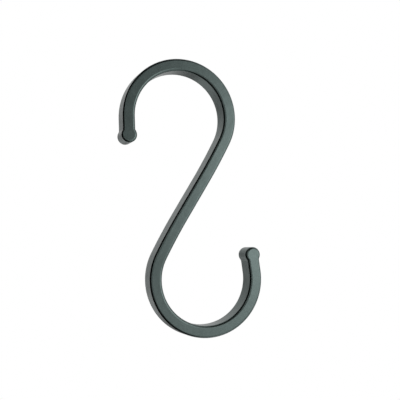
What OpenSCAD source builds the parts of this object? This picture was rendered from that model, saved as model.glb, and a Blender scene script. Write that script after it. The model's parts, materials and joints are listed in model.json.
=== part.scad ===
// S hook: one cast bar of rounded rectangular section, curved on edge into two open hooks.
// Frame: +Z is up as it hangs, the broad outline faces -Y (front) and +Y (back),
// and the origin is the axis of the upper hook, halfway through the depth of the bar.

/* [Bar section] */
// width of the bar, seen from the front
bar_w = 3.5; // [2.6:0.1:4.4]
// depth of the bar, front to back
bar_t = 7; // [4:0.1:10]
// rounding along every edge
edge_r = 0.7; // [0.2:0.1:1.1]
// how much slimmer the shank and the tips are dressed than the rounds, on every side
dress = 0.01; // [0.01:0.01:0.05]

/* [Hooks] */
// diameter of the round seat inside the upper hook
upper_seat_d = 26.5; // [20:0.5:40]
// diameter of the round seat inside the lower hook
lower_seat_d = 26.5; // [20:0.5:40]
// turn of the upper hook's round, from the shank's bend to its straight tip, in degrees
upper_wrap_deg = 208.5; // [190:0.5:225]
// turn of the lower hook's round, from the shank's bend to its straight tip, in degrees
lower_wrap_deg = 215; // [190:0.5:225]

/* [Shank] */
// straight length in the middle of the shank
shank_len = 12.4; // [5:0.1:40]
// radius of the slack bend that leads each end of the shank into its hook
bend_r = 170; // [50:5:220]
// turn of each slack bend, in degrees
bend_deg = 4.35; // [1:0.05:8]
// lean of the shank away from plumb, in degrees
lean_deg = 31; // [15:0.1:40]

/* [Tips] */
// straight end of the upper hook, to the middle of its button
upper_tip_len = 5.3; // [3:0.1:8]
// straight end of the lower hook, to the middle of its button
lower_tip_len = 4.9; // [3:0.1:8]
// diameter of the round button that ends each tip
button_d = 4.5; // [4:0.1:6]
// radius of the hollow on each side of the neck behind a button
neck_r = 1.2; // [0.8:0.1:3]

/* [Hidden] */
$fn = 48;
edge_fn = 16; // facets of the small edge circles
button_r = button_d / 2;
upper_r = (upper_seat_d + bar_w) / 2; // middle line of the upper hook
lower_r = (lower_seat_d + bar_w) / 2; // middle line of the lower hook
slim_w = bar_w - 2 * dress; // section of the shank and the tips
slim_t = bar_t - 2 * dress;
// a neck's hollow is tangent to the bar's side and to the button, which places its axis
neck_x = slim_w / 2 + neck_r; // from the bar's middle line
neck_back = sqrt(pow(button_r + neck_r, 2) - pow(neck_x, 2)); // behind the button's middle
neck_len = round(neck_back * 1e4) / 1e4; // the same to a round figure, where the neck ends
root = 0.3; // how far the shank and the tips are rooted in the rounds
bend_fn = 360; // facets of a whole turn at the slack radius, of which a bend takes a few
past = 1; // how far a cutting body stands clear of what it cuts
finish = "DarkSlateGray";

// rounded rectangle, width w along x and depth t along y
module section(w, t) {
    square([w - 2 * edge_r, t], center = true);
    square([w, t - 2 * edge_r], center = true);
    for (x = [-1, 1], y = [-1, 1])
        translate([x * (w / 2 - edge_r), y * (t / 2 - edge_r)]) circle(r = edge_r, $fn = edge_fn);
}

// straight bar running from the origin along +y
module straight(len, w, t) {
    rotate([-90, 0, 0]) linear_extrude(height = len) section(w, t);
}

// half of a rounded rectangle, for turning into a button of the given radius
module rim_section(r, t) {
    translate([0, -t / 2]) square([r - edge_r, t]);
    translate([0, edge_r - t / 2]) square([r, t - 2 * edge_r]);
    for (y = [-1, 1])
        translate([r - edge_r, y * (t / 2 - edge_r)]) circle(r = edge_r, $fn = edge_fn);
}

// spool that hollows one side of a neck: its ends flare, which leaves the edge rounding
module neck_spool() {
    rotate_extrude() difference() {
        translate([0, -slim_t / 2 - past]) square([neck_r + edge_r, slim_t + 2 * past]);
        translate([neck_r, edge_r - slim_t / 2]) square([2 * edge_r, slim_t - 2 * edge_r]);
        for (y = [-1, 1])
            translate([neck_r + edge_r, y * (slim_t / 2 - edge_r)]) circle(r = edge_r, $fn = edge_fn);
    }
}

// plan of the neck: the triangle from the button's middle to the axes of the two hollows
module neck_plan() {
    polygon([[0, 0], [neck_x, -neck_len], [-neck_x, -neck_len]]);
}

// button and neck, with the button's middle at the origin, where the bar arriving along +y ends
module head() {
    rotate_extrude() rim_section(button_r, slim_t);
    difference() {
        linear_extrude(height = slim_t, center = true) neck_plan();
        // each spool is set in two steps, the round figure and the rest, so that it is truly tangent
        for (side = [-1, 1])
            translate([side * neck_x, -neck_len, 0]) translate([0, neck_len - neck_back, 0]) neck_spool();
    }
}

// one open hook round the origin: round, straight tip and button, anticlockwise
module open_hook(r, wrap, tip_len) {
    rotate([0, 0, bend_deg]) {
        rotate_extrude(angle = wrap) translate([r, 0]) section(bar_w, bar_t);
        rotate([0, 0, wrap]) translate([r, 0, 0]) {
            translate([0, -root, 0]) straight(root + tip_len, slim_w, slim_t);
            translate([0, tip_len, 0]) head();
        }
    }
}

// slack bend from the origin, leaving along +y and bearing left, with its root in the round
module bend() {
    translate([-bend_r, 0, 0])
        rotate_extrude(angle = bend_deg + root / bend_r * 180 / PI, $fn = bend_fn)
            translate([bend_r, 0]) section(slim_w, slim_t);
}

// shank from the origin down along -y, with a slack bend at each end
module shank() {
    bend();
    rotate([0, 0, 180]) straight(shank_len, slim_w, slim_t);
    translate([0, -shank_len, 0]) rotate([0, 0, 180]) bend();
}

// where the straight of the shank ends, seen from the axis of a hook of middle radius r
function shank_end(r) =
    [r + (bend_r - r) * (1 - cos(bend_deg)), -(bend_r - r) * sin(bend_deg), 0];

// the whole hook: drawn flat with its shank along y, then leant and stood up
module hook() {
    color(finish)
    rotate([90, 0, 0]) rotate([0, 0, -lean_deg]) union() {
        open_hook(upper_r, upper_wrap_deg, upper_tip_len);
        translate(shank_end(upper_r)) shank();
        translate(shank_end(upper_r) + shank_end(lower_r) - [0, shank_len, 0])
            rotate([0, 0, 180]) open_hook(lower_r, lower_wrap_deg, lower_tip_len);
    }
}

hook();
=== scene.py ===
# %% [markdown]
# # An S hook with button tips
# The hook is cast in one piece and wears a satin grey-green coat. A bar of rounded rectangular
# section runs through two open hooks and a leaning shank, and each tip swells into a small round
# button. All of it could be drawn here from nothing, but the cast shape is already known as a
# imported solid. So the script takes its main sizes from that solid, lays a finer skin over it,
# gives the skin its finish, and builds a small studio to see it in.

# %% Frame and units
import json
import math

import bmesh
import bpy
import numpy as np
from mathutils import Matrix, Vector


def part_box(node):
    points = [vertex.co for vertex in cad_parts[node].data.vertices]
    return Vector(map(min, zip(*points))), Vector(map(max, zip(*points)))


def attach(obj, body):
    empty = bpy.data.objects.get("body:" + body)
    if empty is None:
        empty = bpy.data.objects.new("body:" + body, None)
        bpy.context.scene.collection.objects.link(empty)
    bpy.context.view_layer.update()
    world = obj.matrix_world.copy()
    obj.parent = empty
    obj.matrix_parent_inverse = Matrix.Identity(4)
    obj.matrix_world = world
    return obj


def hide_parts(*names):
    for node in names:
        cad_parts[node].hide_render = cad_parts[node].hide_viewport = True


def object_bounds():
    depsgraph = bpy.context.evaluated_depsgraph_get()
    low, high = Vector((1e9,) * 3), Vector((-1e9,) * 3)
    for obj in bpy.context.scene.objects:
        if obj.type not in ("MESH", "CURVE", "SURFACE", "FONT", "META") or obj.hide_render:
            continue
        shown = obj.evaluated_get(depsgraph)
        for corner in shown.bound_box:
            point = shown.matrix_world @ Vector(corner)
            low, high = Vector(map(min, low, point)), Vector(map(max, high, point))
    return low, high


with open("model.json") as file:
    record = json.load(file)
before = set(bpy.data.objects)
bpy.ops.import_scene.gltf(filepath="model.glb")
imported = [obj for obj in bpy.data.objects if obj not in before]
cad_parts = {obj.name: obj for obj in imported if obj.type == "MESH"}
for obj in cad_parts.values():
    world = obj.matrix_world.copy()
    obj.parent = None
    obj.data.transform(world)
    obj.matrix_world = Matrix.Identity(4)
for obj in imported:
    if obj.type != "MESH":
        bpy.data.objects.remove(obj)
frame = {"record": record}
cad_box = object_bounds()
mm = 0.001
hook_low, hook_high = (np.array(corner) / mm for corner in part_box("hook"))
print("solid hook, lowest and highest corner in mm:", hook_low.round(2), hook_high.round(2))

# %% [markdown]
# A hook of this size is held near the eye, and a camera that close bends its proportions, so the
# distance matters as much as the angle. A tracking constraint could aim the camera, but two plain
# angles and a distance are easier to read and to repeat. The camera stands 249 mm away, to the
# left of the hook and a little below its middle, and looks slightly up. Its lens is stated by its
# focal length in widths of the frame.

# %% Camera
turn, lift = math.radians(17.098), math.radians(3.332)
distance = 248.66 * mm
aim = np.array([6.918, 0.0, -23.741]) * mm
focal_in_frames = 2.133125
ahead = np.array([math.sin(turn) * math.cos(lift),
                  math.cos(turn) * math.cos(lift),
                  math.sin(lift)])

camera_data = bpy.data.cameras.new("camera")
camera_data.sensor_width = 36.0
camera_data.lens = focal_in_frames * camera_data.sensor_width
camera_data.clip_start = 0.01
camera = bpy.data.objects.new("camera", camera_data)
bpy.context.collection.objects.link(camera)
camera.location = aim - distance * ahead
camera.rotation_euler = (math.pi / 2 + lift, 0.0, -turn)
bpy.context.scene.camera = camera
camera_at = np.array(camera.location) / mm
print("camera at, mm:", camera_at.round(1), "lens:", round(camera_data.lens, 2))

# %% [markdown]
# The real hook is two open rounds with a leaning shank between them. Its sizes could be typed in
# again here, but two copies of a size drift apart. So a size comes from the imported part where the
# part states it: the two seats give the radii and the two centres, and the box gives the depth
# and the width of the bar. Between the straight of the shank and the round of each hook the bar
# takes a slack bend of a few degrees, so the shank's length and lean follow from the two centres
# once the place of each bend is known.

# %% Sizes
seats = {m["name"]: m for m in frame["record"]["mounts"]}
seat_r = {k: seats[k + "_seat"]["dims"]["r_mm"] for k in ("upper", "lower")}
centre = {k: np.array(seats[k + "_seat"]["pos_m"])[[0, 2]] / mm for k in ("upper", "lower")}
bar_t = hook_high[1] - hook_low[1]
bar_w = hook_high[2] - centre["upper"][1] - seat_r["upper"]
mid_r = {k: seat_r[k] + bar_w / 2 for k in seat_r}
bend_r, bend_turn = 170.0, math.radians(4.35)


def shank_end(radius):
    """Where the straight of the shank ends, seen from the middle of its hook."""
    slack = bend_r - radius
    return np.array([radius + slack * (1 - math.cos(bend_turn)), -slack * math.sin(bend_turn)])


across = centre["lower"] - centre["upper"]
sideways, bends = shank_end(mid_r["upper"]) + shank_end(mid_r["lower"])
shank_len = math.sqrt(across @ across - sideways**2) + bends
lean = math.atan2(across[1], across[0]) - math.atan2(bends - shank_len, sideways)
print("bar %.2f x %.2f mm" % (bar_w, bar_t))
print("shank %.2f mm long, leaning %.2f degrees" % (shank_len, math.degrees(lean)))

# %% [markdown]
# Seen from the front, the bar is a ribbon between two outlines. A curve with a bevelled section
# could carry it, but where that section widened for a button it would grow deeper too. So the
# skin follows the ribbon station by station, and each station holds the two outline points with
# the direction each faces. On a plain stretch they face straight away from each other. These
# helpers make stations along a straight line or an arc, heading from one end to the other.

# %% Stations of the plain bar
step = 0.45


def bar_station(point, heading):
    left = np.array([-heading[1], heading[0]])
    return (point + left * bar_w / 2, left, point - left * bar_w / 2, -left)


def straight_run(start, heading, length):
    count = max(2, round(length / step))
    return [bar_station(start + heading * length * i / count, heading) for i in range(count + 1)]


def arc_run(middle, radius, begin, end):
    """Stations round a circle, from one angle to a larger one."""
    count = max(2, round((end - begin) * radius / step))
    out = []
    for i in range(count + 1):
        a = begin + (end - begin) * i / count
        radial = np.array([math.cos(a), math.sin(a)])
        out.append(bar_station(middle + radius * radial, np.array([-radial[1], radial[0]])))
    return out


print("stations about %.2f mm apart along the bar" % step)

# %% [markdown]
# Each tip of the real hook ends in a button as deep as the bar, drawn out of it through a hollow
# on each side, so that nothing slides off. A disc joined on with a boolean would break the
# rounding where the two meet. Here the outline itself leaves the bar through the hollow and goes
# round the button. The hollow is a circle that touches both the side of the bar and the button,
# so its centre follows from the three radii. The stations keep pairing a left with a right point
# up to the button's crown, where the two meet.

# %% Stations of a tip
button_r, neck_r = 2.25, 1.2
hollow_steps, button_steps = 8, 28
neck_x = bar_w / 2 + neck_r
neck_back = math.sqrt((button_r + neck_r) ** 2 - neck_x**2)
hollow_turn = math.atan2(neck_back, neck_x)


def tip_outline():
    """One side of a tip: place and facing, with the button's middle at zero and its crown ahead."""
    out = []
    for a in np.linspace(0, hollow_turn, hollow_steps + 1):
        x, y = neck_x - neck_r * math.cos(a), neck_r * math.sin(a) - neck_back
        out.append((x, y, math.cos(a), -math.sin(a)))
    for a in np.linspace(-hollow_turn, math.pi / 2, button_steps + 1)[1:]:
        out.append((button_r * math.cos(a), button_r * math.sin(a), math.cos(a), math.sin(a)))
    return out


def tip_run(button, heading):
    """Stations from the start of the neck to the crown, with the heading pointing at the crown."""
    left = np.array([-heading[1], heading[0]])
    out = []
    for x, y, nx, ny in tip_outline():
        out.append((button + left * x + heading * y, left * nx + heading * ny,
                    button - left * x + heading * y, -left * nx + heading * ny))
    return out


print("button %.1f mm across, hollows start %.2f mm before its middle" % (2 * button_r, neck_back))

# %% [markdown]
# The real hook is one casting, so its skin is one run too, from the crown of the upper button to
# the crown of the lower one. The two hooks could be modelled apart and welded, but a weld shows
# under a satin coat. The run is laid out flat, with the shank upright, and turned to its lean at
# the end. The upper half is made like the lower one and then read backwards, which swaps its left
# and right.

# %% The whole run
wrap = {"upper": math.radians(208.5), "lower": math.radians(215)}
tip_len = {"upper": 5.3, "lower": 4.9}
lower_mid = np.array([sideways, bends - shank_len])


def hook_half(middle, radius, outward, turn_by, straight_len):
    """Slack bend, round and tip, to the crown; outward is 1 in the upper half, -1 in the lower."""
    begin = 0.0 if outward > 0 else math.pi
    slack_mid = middle + outward * (shank_end(radius) - np.array([bend_r, 0.0]))
    start, end = begin + bend_turn, begin + bend_turn + turn_by
    radial = np.array([math.cos(end), math.sin(end)])
    heading = np.array([-radial[1], radial[0]])
    leave = middle + radius * radial
    return (arc_run(slack_mid, bend_r, begin, start)
            + arc_run(middle, radius, start, end)[1:]
            + straight_run(leave, heading, straight_len - neck_back)[1:]
            + tip_run(leave + heading * straight_len, heading)[1:])


upper = hook_half(np.zeros(2), mid_r["upper"], 1, wrap["upper"], tip_len["upper"])
lower = hook_half(lower_mid, mid_r["lower"], -1, wrap["lower"], tip_len["lower"])
upper_back = [(right, right_n, left, left_n) for left, left_n, right, right_n in reversed(upper)]
shank = straight_run(shank_end(mid_r["upper"]), np.array([0.0, -1.0]), shank_len)
stations = upper_back + shank[1:-1] + lower
print(len(stations), "stations from crown to crown")

# %% [markdown]
# The casting has a small rounding along all four edges, which catches the light and draws the
# form. A bevel modifier could cut it and smooth shading could guess how it faces, but a satin
# coat shows the smallest error where an edge starts. So each station becomes a closed ring:
# across the front, round the front edge, down one side, round the back edge, across the back and
# home by the other side, and every point gets the exact direction that the surface faces there.

# %% Rings of the skin
edge_r = 0.7
edge_steps, side_steps, face_steps = 9, 6, 6
half_t = bar_t / 2


def side_of_ring(point, facing, front_first):
    """Points and facings from one flat face, over the side, to the other flat face."""
    rows = [(math.pi / 2 * i / edge_steps, -1) for i in range(edge_steps + 1)]
    rows += [(None, -1 + 2 * i / side_steps) for i in range(1, side_steps)]
    rows += [(math.pi / 2 * i / edge_steps, 1) for i in range(edge_steps, -1, -1)]
    out = []
    for a, level in rows:
        if a is None:
            plan, depth, n = point, level * (half_t - edge_r), (facing, 0.0)
        else:
            plan = point - facing * edge_r * (1 - math.sin(a))
            depth = level * (half_t - edge_r * (1 - math.cos(a)))
            n = (facing * math.sin(a), level * math.cos(a))
        out.append((plan, depth, n))
    return out if front_first else out[::-1]


def across_face(start, end, level):
    """Points between two edges of a flat face; level is -1 on the front and 1 on the back."""
    facing = (np.zeros(2), float(level))
    shares = [i / face_steps for i in range(1, face_steps)]
    return [(start * (1 - f) + end * f, level * half_t, facing) for f in shares]


def ring(station):
    left, left_n, right, right_n = station
    near = side_of_ring(right, right_n, True)
    far = side_of_ring(left, left_n, False)
    front = across_face(far[-1][0], near[0][0], -1)
    back = across_face(near[-1][0], far[0][0], 1)
    return front + near + back + far


print(len(ring(stations[0])), "points in each ring")

# %% [markdown]
# Now the flat drawing stands up: across stays X, up becomes Z and depth is Y, and the whole run
# turns to the hook's lean. The object could be rotated afterwards, but a piece whose object sits
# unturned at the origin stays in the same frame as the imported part. At the two crowns the left
# and right points fall together, so points in the same place are kept only once.

# %% Points of the skin
turn_plan = np.array([[math.cos(lean), -math.sin(lean)], [math.sin(lean), math.cos(lean)]])
points, facings, edge_mark, rings, seen = [], [], [], [], {}
for station in stations:
    row = []
    for plan, depth, (plan_n, depth_n) in ring(station):
        p, n = turn_plan @ plan, turn_plan @ plan_n
        spot = (round(p[0], 6), round(depth, 6), round(p[1], 6))
        if spot not in seen:
            seen[spot] = len(points)
            points.append((p[0] * mm, depth * mm, p[1] * mm))
            facings.append((n[0], depth_n, n[1]))
            edge_mark.append(2 * abs(depth_n) * math.hypot(*plan_n))
        row.append(seen[spot])
    rings.append(row)
print(len(points), "points in", len(rings), "rings")

# %% [markdown]
# The rings are joined by four-sided faces, which follow the run of the bar. A remesh or a hull
# could close the form too, but it would lose the even rows that carry the shading round each
# bend. A face that loses a corner at a crown becomes a triangle. The facings are handed over
# as they were worked out. So is a mark, which is 0 on the flats and 1 halfway round an edge. The
# volume is measured too, since a skin turned inside out would bring it below zero.

# %% Mesh of the skin
faces = []
for a, b in zip(rings, rings[1:]):
    for i in range(len(a)):
        j = (i + 1) % len(a)
        corners = list(dict.fromkeys([a[i], a[j], b[j], b[i]]))
        if len(corners) > 2:
            faces.append(corners)

skin_mesh = bpy.data.meshes.new("hook_skin")
skin_mesh.from_pydata(points, [], faces)
skin_mesh.validate()
skin = bpy.data.objects.new("hook_skin", skin_mesh)
bpy.context.collection.objects.link(skin)

skin_mesh.shade_smooth()
skin_mesh.normals_split_custom_set_from_vertices(facings)
mark = skin_mesh.attributes.new("edge", "FLOAT", "POINT")
mark.data.foreach_set("value", edge_mark)

measured = bmesh.new()
measured.from_mesh(skin_mesh)
skin_volume = measured.calc_volume(signed=True) / mm**3
measured.free()
print("%d faces round %.1f mm3 of metal" % (len(faces), skin_volume))

# %% [markdown]
# The coat is a thin satin layer with metal flake in it, sprayed over the casting and baked. It
# could be a dark paint under a clear gloss, but a paint keeps one tone where this coat changes
# with what it faces. It behaves like a dark, slightly green metal: its colour shows in what it
# mirrors, it is soft where it is seen straight on and turns bright where it is seen at a slant,
# though less than bare metal would. So the shader is fully metallic, with a specular tint below
# white. Both hold all over the coat and stand on the shader itself.

# %% Coat: the shader
coat = bpy.data.materials.new("satin_coat")
coat.use_nodes = True
nodes, links = coat.node_tree.nodes, coat.node_tree.links
shader = nodes["Principled BSDF"]
slant_tint = 0.74
shader.inputs["Metallic"].default_value = 1.0
shader.inputs["Specular Tint"].default_value = (slant_tint, slant_tint, slant_tint, 1.0)
skin_mesh.materials.append(coat)
print("coat:", coat.name, "on", skin.name)

# %% [markdown]
# A coat is never quite the same from place to place. Its variation could come from a painted
# picture, which needs an unwrapped mesh and a fixed sharpness. Noise measured in the part's own
# coordinates needs neither, and its features have real sizes. These helpers put such noise
# together: one makes it, one spreads it over a range, and one multiplies two values.

# %% Coat: helpers


def node(kind, **values):
    made = nodes.new("ShaderNode" + kind)
    for name, value in values.items():
        setattr(made, name, value)
    return made


def feed(value, socket):
    """Puts a number, a colour or another node's output into an input."""
    if hasattr(value, "links"):
        links.new(value, socket)
    else:
        socket.default_value = value


place = node("TexCoord")


def noise(size, detail):
    """Noise with features of about the given size in metres, in the part's own coordinates."""
    made = node("TexNoise")
    feed(place.outputs["Object"], made.inputs["Vector"])
    feed(1.0 / size, made.inputs["Scale"])
    feed(detail, made.inputs["Detail"])
    return made.outputs["Fac"]


def spread(value, low, high, from_low=0.3, from_high=0.7):
    """Spreads a value over low to high; most of a noise lies between 0.3 and 0.7."""
    made = node("MapRange")
    for name, number in (("Value", value), ("From Min", from_low), ("From Max", from_high),
                         ("To Min", low), ("To Max", high)):
        feed(number, made.inputs[name])
    return made.outputs["Result"]


def times(a, b):
    made = node("Math", operation="MULTIPLY")
    feed(a, made.inputs[0])
    feed(b, made.inputs[1])
    return made.outputs["Value"]


print("nodes of the coat so far:", ", ".join(made.name for made in nodes))

# %% [markdown]
# Sprayed flake does not lie quite evenly. One plain colour would look like plastic, and strong
# mottling like stone. So the coat is a trace darker or lighter in broad drifts of a centimetre,
# and in specks of a fifth of a millimetre single flakes catch more or less light. Both are only
# a few parts in a hundred, since the piece reads as one even colour.

# %% Coat: colour
tint = (0.093, 0.120, 0.115)
drift = spread(noise(9 * mm, detail=2), 0.955, 1.045)
flake = spread(noise(0.2 * mm, detail=1), 0.92, 1.08)
print("tint of the coat:", tint)

# %% [markdown]
# Hooks are knocked against rails and rings, and the coat thins first where the rounding of an
# edge stands proudest. Geometry's Pointiness could find those places, but it changes with how
# fine the mesh is. So the skin's own mark is used, which is 1 halfway round an edge, and patches
# of noise decide where along the edge the wear shows. It stays faint, as on a hook nearly new.

# %% Coat: wear along the edges
worn_tint = (0.150, 0.175, 0.168)
most_wear = 0.5
edge = node("Attribute", attribute_name="edge")
proud = spread(edge.outputs["Fac"], 0.0, 1.0, from_low=0.75, from_high=1.0)
patches = spread(noise(3 * mm, detail=2), 0.0, 1.0, from_low=0.5, from_high=0.68)
wear = times(times(proud, patches), most_wear)

mix = node("Mix", data_type="RGBA")
first_colour, second_colour, mixed_colour = mix.inputs[6], mix.inputs[7], mix.outputs[2]
feed(wear, mix.inputs["Factor"])
feed((*tint, 1.0), first_colour)
feed((*worn_tint, 1.0), second_colour)
uneven = node("VectorMath", operation="SCALE")
feed(mixed_colour, uneven.inputs[0])
feed(times(drift, flake), uneven.inputs["Scale"])
feed(uneven.outputs["Vector"], shader.inputs["Base Color"])
print("wear reaches at most", most_wear, "of the worn tint")

# %% [markdown]
# The coat is satin, so its reflections are soft. How soft drifts by a few hundredths, and they are
# a little sharper where handling has polished the edges. Its surface has two kinds of relief: the
# soft ripple that a sprayed layer keeps when it flows out, about two millimetres from crest to
# crest and at most a sixtieth of one high, and the finer grain of the flake. Real displacement
# could raise them, but relief this low never reaches the outline, and bump shades it with far
# fewer faces.

# %% Coat: roughness and relief
polished = 0.85
matt = spread(noise(3 * mm, detail=3), 0.27, 0.31)
polish = spread(wear, 1.0, polished, from_low=0.0, from_high=most_wear)
feed(times(matt, polish), shader.inputs["Roughness"])

ripple_high, grain_high = 0.016 * mm, 0.004 * mm


def relief(pattern, high):
    """Bump in which a pattern that goes from 0 to 1 rises by a height in metres."""
    made = node("Bump")
    feed(pattern, made.inputs["Height"])
    feed(high, made.inputs["Distance"])
    return made


ripple = relief(noise(2 * mm, detail=1), ripple_high)
grain = relief(noise(0.16 * mm, detail=2), grain_high)
feed(ripple.outputs["Normal"], grain.inputs["Normal"])
feed(grain.outputs["Normal"], shader.inputs["Normal"])
print("relief, mm:", ripple_high / mm, "ripple,", grain_high / mm, "grain;", len(nodes), "nodes")

# %% [markdown]
# Things in a studio are placed by where the hook sees them: an angle round from the front, an
# angle up, and a distance. Coordinates typed one by one would hide that. A card is a plain sheet
# of one grey, and it is shown to reflections alone: it casts no shadow and lights nothing.

# %% Studio: helpers
middle = (np.array(cad_box[0]) + np.array(cad_box[1])) / 2
middle[1] = 0.0


def stand(thing, round_by, up_by, away):
    """Places a thing at an angle round from the front and up, facing the hook, out of shot."""
    a, e = math.radians(round_by), math.radians(up_by)
    toward = np.array([math.sin(a) * math.cos(e), -math.cos(a) * math.cos(e), math.sin(e)])
    thing.location = middle + away * toward
    thing.rotation_euler = (math.pi / 2 - e, 0.0, a)
    thing.visible_camera = False


def card(name, round_by, up_by, away, width, height, grey):
    mesh = bpy.data.meshes.new(name)
    x, y = width / 2, height / 2
    mesh.from_pydata([(-x, -y, 0), (x, -y, 0), (x, y, 0), (-x, y, 0)], [], [(0, 1, 2, 3)])
    thing = bpy.data.objects.new(name, mesh)
    bpy.context.collection.objects.link(thing)
    stand(thing, round_by, up_by, away)
    thing.visible_diffuse = False
    thing.visible_shadow = False
    paint = bpy.data.materials.new(name)
    paint.use_nodes = True
    paint.node_tree.nodes.clear()
    glow = paint.node_tree.nodes.new("ShaderNodeEmission")
    glow.inputs["Color"].default_value = (grey, grey, grey, 1.0)
    out = paint.node_tree.nodes.new("ShaderNodeOutputMaterial")
    paint.node_tree.links.new(glow.outputs["Emission"], out.inputs["Surface"])
    mesh.materials.append(paint)
    print(name, "%.2f x %.2f m, %.2f m away" % (width, height, away))


print("middle of the hook, mm:", (middle / mm).round(2))

# %% [markdown]
# A satin metal shows its surroundings, so the studio is built as what the hook mirrors. Lamps
# alone could light it, but they would leave its roundings without the dark lines that draw them.
# All round it is a plain white room. Black cards stand to the left, at the back left, high up a
# little to the left, and low on the left: they give the dark line along each rounding that looks
# to the left, the upper left or the lower left. The right has none, so that the hook stays
# readable from there. A grey card in front holds the flat faces down, another low behind tones
# the undersides, and one soft lamp at the front right makes the faces brighten from the upper tip
# to the lower one.

# %% Studio: cards and lamp
card("black_card_left", round_by=-83.5, up_by=0, away=0.5,
     width=0.983, height=2.0, grey=0.01)
card("black_card_back_left", round_by=-143.25, up_by=0, away=0.5,
     width=0.273, height=1.2, grey=0.0)
card("black_card_above", round_by=-30, up_by=65, away=0.5,
     width=0.9, height=0.7, grey=0.02)
card("black_card_below", round_by=-75, up_by=-57, away=0.2,
     width=0.5, height=0.32, grey=0.02)
card("grey_card_ahead", round_by=3, up_by=15, away=0.6,
     width=0.262, height=0.543, grey=0.17)
card("grey_card_low_behind", round_by=163, up_by=-20, away=0.5,
     width=0.3, height=0.2, grey=0.33)

lamp_radiance = 2.37
lamp_data = bpy.data.lights.new("soft_lamp", "AREA")
lamp_data.shape = "RECTANGLE"
lamp_data.size, lamp_data.size_y = 0.30, 0.216
lamp_data.energy = lamp_radiance * math.pi * lamp_data.size * lamp_data.size_y
lamp = bpy.data.objects.new("soft_lamp", lamp_data)
bpy.context.collection.objects.link(lamp)
stand(lamp, round_by=33, up_by=3.2, away=0.6)
print("soft lamp of %.3f W" % lamp_data.energy)

# %% [markdown]
# The hook hangs, so nothing carries it. A floor close under it could catch a crisp shadow, but it
# would hide the foot of the black cards from the roundings. So the floor is a round pale table
# top far below, which keeps the hook's soft shadow.

# %% Studio: floor
floor_r, floor_z, floor_sides = 1.3, -0.4, 96
floor_grey = 0.95
around = [2 * math.pi * i / floor_sides for i in range(floor_sides)]
rim = [(floor_r * math.cos(a), floor_r * math.sin(a), floor_z) for a in around]
floor_mesh = bpy.data.meshes.new("floor")
floor_mesh.from_pydata(rim, [], [tuple(range(floor_sides))])
floor = bpy.data.objects.new("floor", floor_mesh)
bpy.context.collection.objects.link(floor)
floor_paint = bpy.data.materials.new("pale_floor")
floor_paint.use_nodes = True
floor_shader = floor_paint.node_tree.nodes["Principled BSDF"]
floor_shader.inputs["Base Color"].default_value = (floor_grey, floor_grey, floor_grey, 1.0)
floor_shader.inputs["Roughness"].default_value = 0.9
floor_shader.inputs["Specular IOR Level"].default_value = 0.0
floor_mesh.materials.append(floor_paint)
print("floor %.1f m across, %.1f m below the upper seat" % (2 * floor_r, -floor_z))

# %% [markdown]
# The room round the hook is plain white. Walls could be built, but a world colour does the same
# without shadows in its corners. It is white to the eye, to reflections and through clear things,
# and a little under white as a light, so that with the lamp a colour comes out about as written.

# %% Studio: room
room_light = 0.92
room = bpy.data.worlds.new("white_room")
bpy.context.scene.world = room
room.use_nodes = True
room_nodes, room_links = room.node_tree.nodes, room.node_tree.links
background = room_nodes["Background"]
background.inputs["Color"].default_value = (1.0, 1.0, 1.0, 1.0)
ray = room_nodes.new("ShaderNodeLightPath")
seen_white = ray.outputs["Is Camera Ray"]
for kind in ("Is Glossy Ray", "Is Transmission Ray"):
    either = room_nodes.new("ShaderNodeMath")
    either.operation = "ADD"
    either.use_clamp = True
    room_links.new(seen_white, either.inputs[0])
    room_links.new(ray.outputs[kind], either.inputs[1])
    seen_white = either.outputs["Value"]
strength = room_nodes.new("ShaderNodeMapRange")
strength.inputs["To Min"].default_value = room_light
room_links.new(seen_white, strength.inputs["Value"])
room_links.new(strength.outputs["Result"], background.inputs["Strength"])
bpy.context.scene.view_settings.view_transform = "Standard"
print("room: 1.0 to the eye,", room_light, "as a light")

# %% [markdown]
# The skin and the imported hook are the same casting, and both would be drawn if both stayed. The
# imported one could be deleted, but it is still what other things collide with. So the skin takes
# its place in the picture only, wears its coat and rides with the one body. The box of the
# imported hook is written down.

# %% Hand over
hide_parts("hook")
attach(skin, "root")
print("box before, mm:", (np.array(cad_box) / mm).round(2).tolist())
